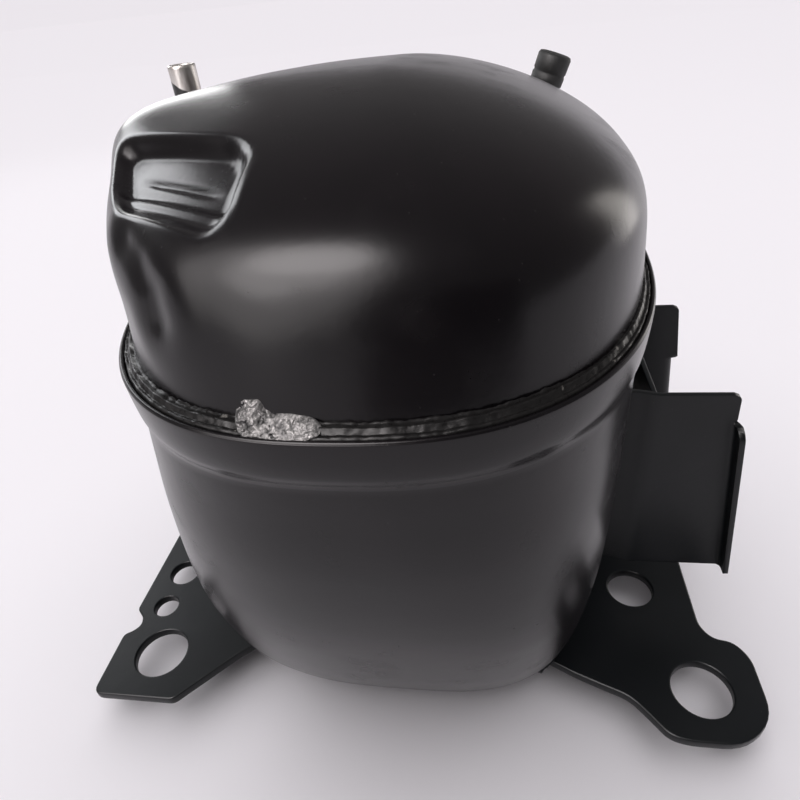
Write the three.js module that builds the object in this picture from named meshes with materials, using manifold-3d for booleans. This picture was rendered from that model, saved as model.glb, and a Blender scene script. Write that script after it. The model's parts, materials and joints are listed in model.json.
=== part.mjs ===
// Hermetic reciprocating compressor: a welded two-part shell on two foot plates, with the sprung
// motor-compressor unit inside it. Millimetres, +Z up, origin at the centre of the flat shell bottom.
// +X is the terminal side, -Y is the front, and the cylinder points to the front.
import * as THREE from "three";
import { mergeVertices } from "three/addons/utils/BufferGeometryUtils.js";
import Module from "manifold-3d";

const wasm = await Module();
wasm.setup();

// ---------------------------------------------------------------- driving dimensions
const SIDES = 32; // facets round the shell
const OVAL = 2.45; // exponent of the rim's and cover's rounded-oval plan
const SQUARER = 0.65; // the lower shell's plan is squarer than the rim by this much at its foot
const WALL = 3; // shell sheet

const RIM_Z = 128; // top edge of the lower shell's flared rim
const STEP_Z = 119; // step under the flared band
const CROWN_Z = 169;
const DOME_FOOT_Z = 120.8; // the cover stands in the rim down to here

const PLATE_Z = 9; // underside of the foot plates
const PLATE_T = 3;
const FOOT_Y = 2.5; // centre of the mounting pattern, seen from the shell's centre
const PATTERN_X = 165.1;
const PATTERN_Y = 101.6;
const GROMMET_R = 8.25;

const CRANK_Y = 10; // crank axis, x = 0
const STROKE = 18;
const THROW = STROKE / 2;
const CYL_Z = 128; // cylinder axis height
const BORE_R = 12;
const HEAD_Y = -44; // face of the crankcase that carries the valve plate

const STATOR_Z = 46;
const STATOR_H = 36;
const STATOR_X = 74;
const STATOR_Y = 84;
const AIR_BORE = 24.5;
const ROTOR_R = 24;
const SHAFT_R = 8;
const DECK_Z = 100; // underside of the crankcase deck
const BOLT_X = 29; // stator bolts, with a suspension spring under each
const BOLT_Y = 30;
const SPRING_R = 5.6;
const WIRE_R = 0.9;
const SPRING_LOW = 14;
const SPRING_TOP = 32;

const TUBE_R = 4; // 8 mm connecting tubes
const TUBE_BORE = 3.2;

// ---------------------------------------------------------------- helpers
const solid = (geometry) => {
  const g = geometry.clone();
  g.deleteAttribute("normal");
  g.deleteAttribute("uv");
  const m = mergeVertices(g, 1e-4);
  return new wasm.Manifold(
    new wasm.Mesh({
      numProp: 3,
      vertProperties: new Float32Array(m.attributes.position.array),
      triVerts: new Uint32Array(m.index.array),
    }),
  );
};

const geometryOf = (body) => {
  const mesh = body.getMesh();
  const g = new THREE.BufferGeometry();
  g.setAttribute("position", new THREE.BufferAttribute(mesh.vertProperties, 3));
  g.setIndex(new THREE.BufferAttribute(mesh.triVerts, 1));
  return g;
};

const join = (...parts) => parts.map(asSolid).reduce((a, b) => a.add(b));
const cut = (body, ...tools) => tools.map(asSolid).reduce((a, b) => a.subtract(b), asSolid(body));
const asSolid = (thing) => (thing.isBufferGeometry ? solid(thing) : thing);

const box = (x, y, z, cx, cy, cz) => new THREE.BoxGeometry(x, y, z).translate(cx, cy, cz);

// A round bar from (x, y, z) along +Z.
const bar = (r, h, x, y, z, sides = 16) =>
  new THREE.CylinderGeometry(r, r, h, sides).rotateX(Math.PI / 2).translate(x, y, z + h / 2);

// A round bar along Y, centred on (x, y, z).
const barY = (r, length, x, y, z, sides = 16) =>
  new THREE.CylinderGeometry(r, r, length, sides).translate(x, y, z);

// A round bar along X, centred on (x, y, z).
const barX = (r, length, x, y, z, sides = 16) =>
  new THREE.CylinderGeometry(r, r, length, sides).rotateZ(Math.PI / 2).translate(x, y, z);

// A flat plate: an outline in X and Y with holes, from height z upwards.
const plate = (points, holes, thickness, z, segments = 5) => {
  const shape = new THREE.Shape(points.map(([x, y]) => new THREE.Vector2(x, y)));
  for (const [x, y, rx, ry = rx] of holes) {
    shape.holes.push(new THREE.Path().absellipse(x, y, rx, ry, 0, 2 * Math.PI, true));
  }
  const g = new THREE.ExtrudeGeometry(shape, {
    depth: thickness,
    bevelEnabled: false,
    curveSegments: segments,
  });
  return g.translate(0, 0, z);
};

// A rounded rectangle outline for plate().
const roundRect = (w, h, r, cx = 0, cy = 0, steps = 4) => {
  const points = [];
  for (const [sx, sy, start] of [[1, 1, 0], [-1, 1, 1], [-1, -1, 2], [1, -1, 3]]) {
    for (let i = 0; i <= steps; i++) {
      const t = ((start + i / steps) * Math.PI) / 2;
      points.push([
        cx + sx * (w / 2 - r) + r * Math.cos(t),
        cy + sy * (h / 2 - r) + r * Math.sin(t),
      ]);
    }
  }
  return points;
};

// The plan's exponent at a height.
const squareness = (z) => OVAL + SQUARER * Math.min(1, Math.max(0, (STEP_Z - z) / 60));

// A rounded-oval body. Each row is [half width to +X, half depth in Y, height, half width to -X], and
// the last is left out where the two sides match. Rows run up the outside and, for a hollow body,
// back down the inside, and start and end on the axis.
const oval = (rows, sides = SIDES) => {
  const profile = rows.map(([a, , z]) => new THREE.Vector2(a, z));
  const g = new THREE.LatheGeometry(profile, sides).rotateX(Math.PI / 2);
  const at = g.attributes.position;
  for (let i = 0; i < at.count; i++) {
    const [right, rear, z, left = right, front = rear] = rows[i % rows.length];
    const angle = (2 * Math.PI * Math.floor(i / rows.length)) / sides;
    const c = Math.cos(angle);
    const s = Math.sin(angle);
    const power = squareness(z);
    const k = (Math.abs(c) ** power + Math.abs(s) ** power) ** (-1 / power);
    at.setXYZ(i, (c < 0 ? left : right) * k * c, (s < 0 ? front : rear) * k * s, z);
  }
  return g;
};

// A closed ring (no axis) with the same plan: rows run round its section.
const ovalRing = (rows, sides = SIDES) => oval([...rows, rows[0]], sides);

// A round body turned about Z: rows are [radius, height].
const turned = (rows, x, y, sides = 24) =>
  new THREE.LatheGeometry(rows.map(([r, z]) => new THREE.Vector2(r, z)), sides)
    .rotateX(Math.PI / 2)
    .translate(x, y, 0);

// A bar bent through points, of round section.
const bent = (points, radius, steps, halfSides) => {
  const path = new THREE.CatmullRomCurve3(
    points.map((p) => new THREE.Vector3(...p)),
    false,
    "centripetal",
  );
  const section = new THREE.Shape();
  section.absarc(0, 0, radius, 0, 2 * Math.PI, false);
  return new THREE.ExtrudeGeometry(section, {
    steps,
    extrudePath: path,
    curveSegments: halfSides,
    bevelEnabled: false,
  });
};

const INK = {
  paint: { color: 0x16161a, roughness: 0.22, metalness: 0.1 },
  foot: { color: 0x1c1e21, roughness: 0.45, metalness: 0.2 },
  weld: { color: 0x6d6a66, roughness: 0.7, metalness: 0.5 },
  steel: { color: 0xb9b9b6, roughness: 0.35, metalness: 0.9 },
  iron: { color: 0x565452, roughness: 0.7, metalness: 0.6 },
  copper: { color: 0xb0643a, roughness: 0.35, metalness: 0.9 },
  rubber: { color: 0x111111, roughness: 0.9, metalness: 0 },
  plastic: { color: 0xe6e2d4, roughness: 0.5, metalness: 0 },
  glass: { color: 0x2a3a4a, roughness: 0.2, metalness: 0 },
};
const compressor = new THREE.Group();

const add = (name, shape, finish) => {
  const geometry = shape.isBufferGeometry ? shape : geometryOf(shape);
  const mesh = new THREE.Mesh(geometry, new THREE.MeshStandardMaterial(INK[finish]));
  mesh.name = name;
  compressor.add(mesh);
};

// ---------------------------------------------------------------- shell
// The terminal side is flatter than the other side, so it reaches less far from the centre.
const LOWER_ROWS = [
  [26, 33.5, 0, 27],
  [38, 45.5, 2, 39],
  [47.5, 52.5, 8, 52.5],
  [51.5, 58, 18, 59],
  [53.3, 67, 36, 60.8],
  [55.2, 75.5, 66, 61.4],
  [56.7, 79.2, 98, 60.2],
  [57.4, 79.8, STEP_Z - 4, 58.4],
];
const grown = (gap) => ([a, b, z, left]) => [a + gap, b + gap, z, left + gap];
const shellSkin = (gap) =>
  solid(oval([[0, 0, 18], ...LOWER_ROWS.slice(3).map(grown(gap)), [0, 0, STEP_Z - 4]]));
const inward = ([a, b, z, left], lift = 0) => [a - WALL, b - WALL, z + lift, left - WALL];
// The inside of the bottom, where the spring seats stand.
const BOWL = [[24, 31.5, 3], ...LOWER_ROWS.slice(1, 4).map((row) => inward(row, row[2] < 10 ? 3 : 0))];
const lowerOutside = [
  [0, 0, 0],
  ...LOWER_ROWS,
  [57.9, 80.2, STEP_Z - 1],
  [59, 81.6, STEP_Z + 1],
  [59.6, 82.4, RIM_Z],
];
const lowerInside = [
  [57.2, 79.9, RIM_Z],
  [57.2, 79.9, DOME_FOOT_Z - 0.4],
  [54.7, 77, DOME_FOOT_Z - 0.4],
  [54.3, 76.5, STEP_Z - 4],
  ...LOWER_ROWS.slice(4, -1).reverse().map((row) => inward(row)),
  ...BOWL.toReversed(),
  [0, 0, 3],
];
const TERMINAL = { y: 4.75, z: 66, r: 12 };
add(
  "lower_shell",
  cut(oval([...lowerOutside, ...lowerInside]), barX(TERMINAL.r + 0.3, 30, 54, TERMINAL.y, TERMINAL.z)),
  "paint",
);

// The crown falls away gently towards +X and stands full towards -X: each side has its own roundness.
const shoulder = (up, roundness) => (1 - up ** (2 / roundness)) ** (roundness / 2);
const domeRows = (inset) => {
  const rows = [];
  const low = CROWN_Z - 24;
  for (let i = 1; i <= 8; i++) {
    const up = Math.sin((i / 9) * (Math.PI / 2)) ** 0.8;
    const right = (54.1 - inset) * shoulder(up, 1.2);
    const left = (56.6 - inset) * shoulder(up, 0.5);
    const rear = (73.5 - inset) * shoulder(up, 0.8);
    const front = (73.5 - inset) * shoulder(up, 0.92);
    rows.push([right, rear, low + (24 - inset) * up, left, front]);
  }
  return [
    [56.7 - inset, 79.3 - inset, RIM_Z - 3],
    [55.3 - inset, 75.8 - inset, 135, 55.6 - inset],
    [54.2 - inset, 74 - inset, low, 56.4 - inset],
    ...rows,
    [0, 0, CROWN_Z - inset],
  ];
};
const domeOutside = oval([[0, 0, DOME_FOOT_Z], [56.7, 79.3, DOME_FOOT_Z], ...domeRows(0)]);
const domeInside = oval([
  [0, 0, DOME_FOOT_Z - 1],
  [56.7 - WALL, 79.3 - WALL, DOME_FOOT_Z - 1],
  ...domeRows(WALL),
]);
// The recess is pressed square to the front left shoulder, so its tool is a rounded block that leans.
const RECESS = { x: -30, y: -51.5, z: 159, turn: -0.52, lean: 0.55, w: 34, d: 23, deep: 1 };
const recessTool = (grow) => {
  const outline = roundRect(RECESS.w + 2 * grow, RECESS.d + 2 * grow, 7 + grow);
  return plate(outline, [], 30, -RECESS.deep - grow)
    .rotateX(RECESS.lean)
    .rotateZ(RECESS.turn)
    .translate(RECESS.x, RECESS.y, RECESS.z);
};
const domeSkin = cut(domeOutside, recessTool(0));
const domeHollow = cut(domeInside, recessTool(2));
add("top_cover", domeSkin.subtract(domeHollow), "paint");

add(
  "weld_bead",
  ovalRing([
    [56.6, 78.5, RIM_Z + 0.3],
    [59.3, 82.1, RIM_Z + 0.3],
    [59, 81.7, RIM_Z + 1.3],
    [57.7, 80, RIM_Z + 2.2],
    [56.5, 78.1, RIM_Z + 1.6],
  ]),
  "weld",
);

// ---------------------------------------------------------------- feet
const halfX = PATTERN_X / 2;
const halfY = PATTERN_Y / 2;
const FOOT_EDGE = 99;
const EAR_Y = halfY + 14.9;

// Half a foot's outline, from the root inside the shell's edge round the front ear to the middle.
const rightHalf = [
  [38, -42],
  [48, -48.5],
  [55, -51.5],
  [61, -53.5],
  [65.5, -57],
  [68.5, -61.5],
  [73, -EAR_Y + 0.6],
  [79, -EAR_Y],
  [88, -EAR_Y],
  [94, -EAR_Y + 2.6],
  [FOOT_EDGE - 0.6, -EAR_Y + 7],
  [FOOT_EDGE, -EAR_Y + 12],
  [FOOT_EDGE, -42],
  [97.6, -37.6],
  [94, -35.2],
  [90.5, -34.2],
  [88, -31],
];
const leftHalf = [
  [40, -34],
  [56, -48.8],
  [72, -EAR_Y],
  [95.8, -EAR_Y],
  [98, -EAR_Y + 1.4],
  [FOOT_EDGE, -EAR_Y + 4],
  [FOOT_EDGE - 0.4, -45.4],
  [97, -43.6],
  [95, -42],
  [94.7, -40.2],
  [FOOT_EDGE - 0.4, -35.8],
  [FOOT_EDGE, -33],
];
const mirrorY = (points) => points.map(([x, y]) => [x, -y]).reverse();
const outlineOf = (half, side) => {
  const whole = [...half, ...mirrorY(half)].map(([x, y]) => [side * x, y + FOOT_Y]);
  return side < 0 ? whole.reverse() : whole;
};
const grommets = (side) => [
  [side * halfX, -halfY + FOOT_Y, GROMMET_R],
  [side * halfX, halfY + FOOT_Y, GROMMET_R],
];
const grownShell = (gap) =>
  solid(oval([[0, 0, 2], ...LOWER_ROWS.slice(1, 5).map(grown(gap)), [0, 0, 36]]));
const foot = (half, side, extras) =>
  cut(
    plate(outlineOf(half, side), [...grommets(side), ...extras], PLATE_T, PLATE_Z, 10),
    grownShell(0.3),
  );
const LEFT_HOLES = [
  [-89, -33.5 + FOOT_Y, 4],
  [-89, 33.5 + FOOT_Y, 4],
  [-88.5, -19 + FOOT_Y, 5],
  [-88.5, 19 + FOOT_Y, 5],
];
const RIGHT_HOLES = [
  [69, -17 + FOOT_Y, 7],
  [69, 17 + FOOT_Y, 7],
];
add("left_foot", foot(leftHalf, -1, LEFT_HOLES), "foot");
add("right_foot", foot(rightHalf, 1, RIGHT_HOLES), "foot");

// ---------------------------------------------------------------- terminal bracket
const BRACKET_TOP = 95;
const BRACKET_LOW = 34.5;
const SHEET = 1.4;
const NEAR_Y = -21.5;
const FAR_Y = 31;
const BASE_X = 64;
const LIP = 4.2; // each side wall's free edge is turned outwards by this much
const nearWall = [
  [44, BRACKET_LOW],
  [91.3, BRACKET_LOW],
  [85.1, BRACKET_TOP - 9],
  [83.6, BRACKET_TOP],
  [44, BRACKET_TOP],
];
const farWall = [
  [44, BRACKET_LOW],
  [86.6, BRACKET_LOW],
  [82.8, BRACKET_TOP - 21.4],
  [84.7, BRACKET_TOP - 19.5],
  [82, BRACKET_TOP - 2.5],
  [44, BRACKET_TOP - 2.5],
];
// The lip runs along the wall's free edge, from its lowest corner up to the next one.
const lipOf = ([, [x0, z0], [x1, z1]]) => [
  [x0 - SHEET, z0],
  [x0, z0],
  [x1, z1],
  [x1 - SHEET, z1],
];
// A sheet of an outline in X and Z, filling y to y + depth.
const standing = (outline, y, depth, holes = []) =>
  plate(outline, holes, depth, 0).rotateX(Math.PI / 2).translate(0, y + depth, 0);
const bracketBase = box(
  SHEET,
  FAR_Y - NEAR_Y,
  BRACKET_TOP - 2.5 - BRACKET_LOW,
  BASE_X + SHEET / 2,
  (FAR_Y + NEAR_Y) / 2,
  (BRACKET_TOP - 2.5 + BRACKET_LOW) / 2,
);
add(
  "terminal_bracket",
  cut(
    join(
      bracketBase,
      standing(nearWall, NEAR_Y - SHEET / 2, SHEET),
      standing(lipOf(nearWall), NEAR_Y - LIP, LIP),
      standing(farWall, FAR_Y - SHEET / 2, SHEET),
      standing(lipOf(farWall), FAR_Y, LIP),
    ),
    shellSkin(0.3),
    barX(17, 20, BASE_X, TERMINAL.y, TERMINAL.z, 28),
  ),
  "foot",
);

// ---------------------------------------------------------------- hermetic terminal
const pinSpots = [90, 210, 330].map((deg) => {
  const t = THREE.MathUtils.degToRad(deg);
  return [TERMINAL.y + 5.6 * Math.cos(t), TERMINAL.z + 5.6 * Math.sin(t)];
});
const PIN_R = 1.6;
const terminalBody = join(
  barX(TERMINAL.r, 9.6, 53.4, TERMINAL.y, TERMINAL.z),
  barX(TERMINAL.r + 3, 1.8, 57.2, TERMINAL.y, TERMINAL.z),
);
add(
  "terminal_body",
  cut(terminalBody, ...pinSpots.map(([y, z]) => barX(PIN_R + 0.3, 30, 54, y, z, 12))),
  "glass",
);
["common", "start", "run"].forEach((name, i) => {
  const [y, z] = pinSpots[i];
  add("terminal_pin_" + name, barX(PIN_R, 29, 57.5, y, z, 12), "steel");
});
add(
  "cluster_block",
  cut(
    box(6.6, 22, 22, 44.4, TERMINAL.y, TERMINAL.z),
    ...pinSpots.map(([y, z]) => barX(PIN_R + 0.3, 10, 47.2, y, z, 12)),
  ),
  "plastic",
);

// ---------------------------------------------------------------- tubes
// Each stub leaves the lower shell under the flared rim and turns upwards clear of the weld.
const stub = (points, steps) => cut(bent(points, TUBE_R, steps, 5), shellSkin(0.3));
add(
  "suction_stub",
  stub([[-49, 38, 100], [-60, 39.2, 100], [-65.3, 40, 105], [-65.3, 40, 138], [-65.3, 40, 169.6]], 14),
  "steel",
);
add(
  "discharge_stub",
  stub([[31, 62, 100], [33, 74, 100], [33.8, 77.5, 105], [36.4, 77.5, 130], [41.2, 77.5, 151]], 16),
  "paint",
);
add(
  "process_stub",
  stub([[-24, 69, 100], [-24.2, 81, 100], [-24.3, 84.6, 105], [-24.3, 84.6, 118], [-24.3, 84.6, 136]], 12),
  "paint",
);
const PLUG_TILT = 0.34;
const plugCap = turned([[0, 0], [5.3, 0], [5.4, 8], [4.7, 9.2], [0, 9.2]], 0, 0, 20)
  .rotateY(PLUG_TILT)
  .translate(41.35, 77.5, 151.45);
add("stub_plug", plugCap, "rubber");

// ---------------------------------------------------------------- sprung unit: motor
const boltSpots = [[1, 1], [-1, 1], [-1, -1], [1, -1]].map(([sx, sy]) => [
  sx * BOLT_X,
  CRANK_Y + sy * BOLT_Y,
]);
const SLOTS = 12;
const inSlots = (width, height, from, to, z) =>
  Array.from({ length: SLOTS }, (_, i) =>
    box(to - from, width, height, (from + to) / 2, 0, z)
      .rotateZ((2 * Math.PI * (i + 0.5)) / SLOTS)
      .translate(0, CRANK_Y, 0),
  );
const lamination = plate(
  roundRect(STATOR_X, STATOR_Y, 12, 0, CRANK_Y),
  [[0, CRANK_Y, AIR_BORE], ...boltSpots.map(([x, y]) => [x, y, 2.8])],
  STATOR_H,
  STATOR_Z,
  18,
);
add("stator_core", cut(lamination, ...inSlots(3.4, STATOR_H + 4, 23, 32.6, STATOR_Z + STATOR_H / 2)), "iron");

const endTurns = (low, high) =>
  turned([[26, low], [31.5, low], [33, low + 2], [33, high - 2], [31.5, high], [26, high], [26, low]], 0, CRANK_Y, 24);
add(
  "stator_winding",
  join(
    endTurns(STATOR_Z - 13, STATOR_Z - 0.3),
    endTurns(STATOR_Z + STATOR_H + 0.3, STATOR_Z + STATOR_H + 12.5),
    ...inSlots(2.7, STATOR_H + 3, 26.2, 32, STATOR_Z + STATOR_H / 2),
  ),
  "copper",
);

add(
  "rotor",
  cut(
    turned([[0, 44.6], [22, 44.6], [ROTOR_R, 46.6], [ROTOR_R, 82], [22, 83.6], [0, 83.6]], 0, CRANK_Y, 32),
    bar(SHAFT_R + 0.3, 60, 0, CRANK_Y, 40),
  ),
  "iron",
);
const halfRing = new THREE.Shape();
halfRing.absarc(0, 0, 22, Math.PI / 2, (3 * Math.PI) / 2, false);
halfRing.absarc(0, 0, 15.6, (3 * Math.PI) / 2, Math.PI / 2, true);
add(
  "counterweight",
  new THREE.ExtrudeGeometry(halfRing, { depth: 5.5, bevelEnabled: false, curveSegments: 12 }).translate(
    0,
    CRANK_Y,
    83.9,
  ),
  "steel",
);

// ---------------------------------------------------------------- sprung unit: crankcase and crank
const FACE = 18; // half height of the cylinder block
const headBolts = [[1, 1], [-1, 1], [-1, -1], [1, -1]].map(([sx, sz]) => [sx * 15.5, CYL_Z + sz * 14.5]);
const BLOCK_BACK = -14;
add(
  "crankcase",
  cut(
    join(
      plate(roundRect(76, 80, 10, 0, CRANK_Y), [], 6, DECK_Z),
      bar(14, 29, 0, CRANK_Y, 88.5),
      ...boltSpots.map(([x, y]) => bar(6, DECK_Z - STATOR_Z - STATOR_H + 0.7, x, y, STATOR_Z + STATOR_H + 0.3, 16)),
      box(38, BLOCK_BACK - HEAD_Y, CYL_Z + FACE - DECK_Z, 0, (BLOCK_BACK + HEAD_Y) / 2, (CYL_Z + FACE + DECK_Z) / 2),
    ),
    bar(SHAFT_R + 0.2, 60, 0, CRANK_Y, 80),
    barY(BORE_R, 60, 0, HEAD_Y, CYL_Z, 32),
    ...boltSpots.map(([x, y]) => bar(2.8, 20, x, y, 76, 12)),
    ...headBolts.map(([x, z]) => barY(2.4, 30, x, HEAD_Y, z, 12)),
  ),
  "iron",
);

const WEB_Z = 118;
const PIN_TOP = 134;
add(
  "crankshaft",
  cut(
    join(
      bar(SHAFT_R, WEB_Z - 25, 0, CRANK_Y, 26),
      bar(17, 5, THROW / 2, CRANK_Y, WEB_Z, 32),
      bar(7, PIN_TOP - WEB_Z - 4, THROW, CRANK_Y, WEB_Z + 4),
    ),
    bar(1.8, 4, THROW / 2, CRANK_Y, PIN_TOP - 2, 12),
  ),
  "steel",
);
add("oil_gallery_plug", bar(1.5, 1.7, THROW / 2, CRANK_Y, PIN_TOP - 1.7, 12), "steel");
add(
  "oil_pickup",
  turned([[2, 9], [3.4, 9], [6.2, 20], [6.2, 25.7], [5, 25.7], [5, 20.4], [2, 9]], 0, CRANK_Y, 20),
  "steel",
);

const YOKE = { x: 56, y: 27, windowX: 38, windowY: 18, h: 9 };
add(
  "slide_block",
  cut(
    box(17.4, 17.4, 9, THROW, CRANK_Y, CYL_Z),
    bar(7.2, 20, THROW, CRANK_Y, CYL_Z - 10),
  ),
  "steel",
);
const CROWN_REST = HEAD_Y + 1.5 + THROW; // piston crown at half stroke
const SKIRT = 20;
add(
  "piston",
  join(
    cut(
      box(YOKE.x, YOKE.y, YOKE.h, 0, CRANK_Y, CYL_Z),
      box(YOKE.windowX, YOKE.windowY, 20, 0, CRANK_Y, CYL_Z),
    ),
    barY(4.4, 11, 0, -8.5, CYL_Z, 16),
    barY(BORE_R - 0.15, SKIRT, 0, CROWN_REST + SKIRT / 2, CYL_Z, 32),
  ),
  "steel",
);

// ---------------------------------------------------------------- sprung unit: valves and head
const upright = (w, h, x, z) => roundRect(w, h, 3, x, z);
const facing = (outline, holes, thickness, y) => standing(outline, y, thickness, holes);
const boltHoles = headBolts.map(([x, z]) => [x, z, 2.4]);
const blockFace = upright(38, 2 * FACE, 0, CYL_Z);
const PORT_IN = CYL_Z - 6;
const PORT_OUT = CYL_Z + 6;
add("suction_reed", box(9, 0.4, 19, 0, HEAD_Y - 0.5, CYL_Z - 0.7), "steel");
add(
  "valve_plate",
  facing(blockFace, [...boltHoles, [0, PORT_IN, 3], [7.5, PORT_OUT, 2]], 3, HEAD_Y - 4),
  "steel",
);
add("discharge_reed", box(5, 0.4, 15, 7.5, HEAD_Y - 4.6, CYL_Z + 1), "steel");
add(
  "head_gasket",
  cut(facing(blockFace, boltHoles, 1.4, HEAD_Y - 5.7), box(24, 6, 22, 0, HEAD_Y - 5, CYL_Z)),
  "rubber",
);
add(
  "cylinder_head",
  cut(facing(blockFace, boltHoles, 11, HEAD_Y - 17), box(24, 14, 22, 0, HEAD_Y - 6, CYL_Z)),
  "iron",
);
headBolts.forEach(([x, z], i) => {
  add(
    "head_bolt_" + (i + 1),
    join(barY(2, 26, x, HEAD_Y - 5.6, z, 12), barY(3.6, 3, x, HEAD_Y - 18.9, z, 6)),
    "steel",
  );
});
add("suction_muffler", box(15, 22, 30, 28.5, -38, 121.5), "plastic");
add(
  "discharge_muffler",
  turned([[0, 106.4], [9, 106.4], [9, 126], [6.5, 130], [0, 130]], -30, -31, 24),
  "iron",
);
add(
  "discharge_line",
  bent(
    [[-30, -31, 130.7], [-30.2, -30.6, 136], [-33, -25, 139.5], [-39, -12, 134], [-42, 12, 116], [-38, 40, 110], [-22, 58, 110], [4, 60, 109]],
    1.8,
    26,
    4,
  ),
  "copper",
);

// ---------------------------------------------------------------- suspension
const cavity = solid(
  oval([[0, 0, 3.3], ...BOWL.map(([a, b, z, left = a]) => [a - 0.3, b - 0.3, z + 0.3, left - 0.3]), [0, 0, 18.3]]),
);
const TURNS = 4;
const coil = (x, y) => {
  const low = SPRING_LOW + WIRE_R;
  const high = SPRING_TOP - WIRE_R;
  const steps = 9 * TURNS;
  const points = [];
  for (let i = 0; i <= steps; i++) {
    const t = (2 * Math.PI * TURNS * i) / steps;
    points.push([x + SPRING_R * Math.cos(t), y + SPRING_R * Math.sin(t), low + ((high - low) * i) / steps]);
  }
  return bent(points, WIRE_R, steps, 2);
};
boltSpots.forEach(([x, y], i) => {
  const seat = join(bar(7, 16, x, y, -2, 16), bar(4, 7, x, y, 13, 16)).subtract(solid(bar(9, 2, x, y, 30)));
  const bed = solid(bar(10, 16.4, x, y, 3.2, 24)).intersect(cavity);
  add("spring_seat_" + (i + 1), seat.intersect(bed.add(solid(bar(4.2, 7, x, y, 14, 16)))), "steel");
  add("spring_" + (i + 1), coil(x, y), "steel");
  add(
    "stator_bolt_" + (i + 1),
    turned(
      [
        [0, 25],
        [4, 25],
        [4, SPRING_TOP + 0.3],
        [6.8, SPRING_TOP + 0.3],
        [6.8, 35],
        [4.4, 35],
        [4.4, STATOR_Z - 0.3],
        [2.4, STATOR_Z - 0.3],
        [2.4, 95],
        [0, 95],
      ],
      x,
      y,
      12,
    ),
    "steel",
  );
});

export default compressor;
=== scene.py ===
import json
import math

import bmesh
import bpy
from mathutils import Matrix, Vector, noise


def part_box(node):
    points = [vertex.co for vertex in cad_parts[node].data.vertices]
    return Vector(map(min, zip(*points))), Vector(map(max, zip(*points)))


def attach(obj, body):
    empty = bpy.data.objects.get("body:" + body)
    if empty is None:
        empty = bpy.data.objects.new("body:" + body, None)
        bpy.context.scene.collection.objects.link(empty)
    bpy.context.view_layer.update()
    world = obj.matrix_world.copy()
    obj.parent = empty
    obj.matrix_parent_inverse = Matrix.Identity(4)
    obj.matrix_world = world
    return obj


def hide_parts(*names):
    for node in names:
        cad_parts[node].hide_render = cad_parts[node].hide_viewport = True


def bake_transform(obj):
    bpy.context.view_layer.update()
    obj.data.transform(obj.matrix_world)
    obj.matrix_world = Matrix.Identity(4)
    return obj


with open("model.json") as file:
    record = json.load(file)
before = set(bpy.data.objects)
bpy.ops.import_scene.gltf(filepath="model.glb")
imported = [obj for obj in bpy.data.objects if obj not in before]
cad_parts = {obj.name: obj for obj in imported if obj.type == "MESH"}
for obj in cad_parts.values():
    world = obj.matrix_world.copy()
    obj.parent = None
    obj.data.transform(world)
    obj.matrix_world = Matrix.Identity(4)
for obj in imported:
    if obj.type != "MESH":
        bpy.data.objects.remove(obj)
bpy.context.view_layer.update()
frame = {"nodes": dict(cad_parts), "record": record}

MM = 0.001

# ------------------------------------------------------------------ camera
# The camera stands close in front, above the crown, turned a little left and rolled a little.
FOCAL_LENGTH = 26.98
CAMERA_AT = Vector((24.5, -149.1, 183.1)) * MM
HEADING, PITCH, ROLL = math.radians(10.85), math.radians(34.64), math.radians(-6.32)

camera_data = bpy.data.cameras.new("camera")
camera_data.lens = FOCAL_LENGTH
camera_data.clip_start = 0.005
camera = bpy.data.objects.new("camera", camera_data)
bpy.context.scene.collection.objects.link(camera)
camera.matrix_world = (
    Matrix.Translation(CAMERA_AT)
    @ Matrix.Rotation(HEADING, 4, "Z")
    @ Matrix.Rotation(math.pi / 2 - PITCH, 4, "X")
    @ Matrix.Rotation(ROLL, 4, "Z")
)
bpy.context.scene.camera = camera
bpy.context.scene.view_settings.view_transform = "Standard"


# ------------------------------------------------------------------ materials
MIX_A, MIX_B, MIX_RESULT = 6, 7, 2  # the colour sockets of a Mix node


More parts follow.
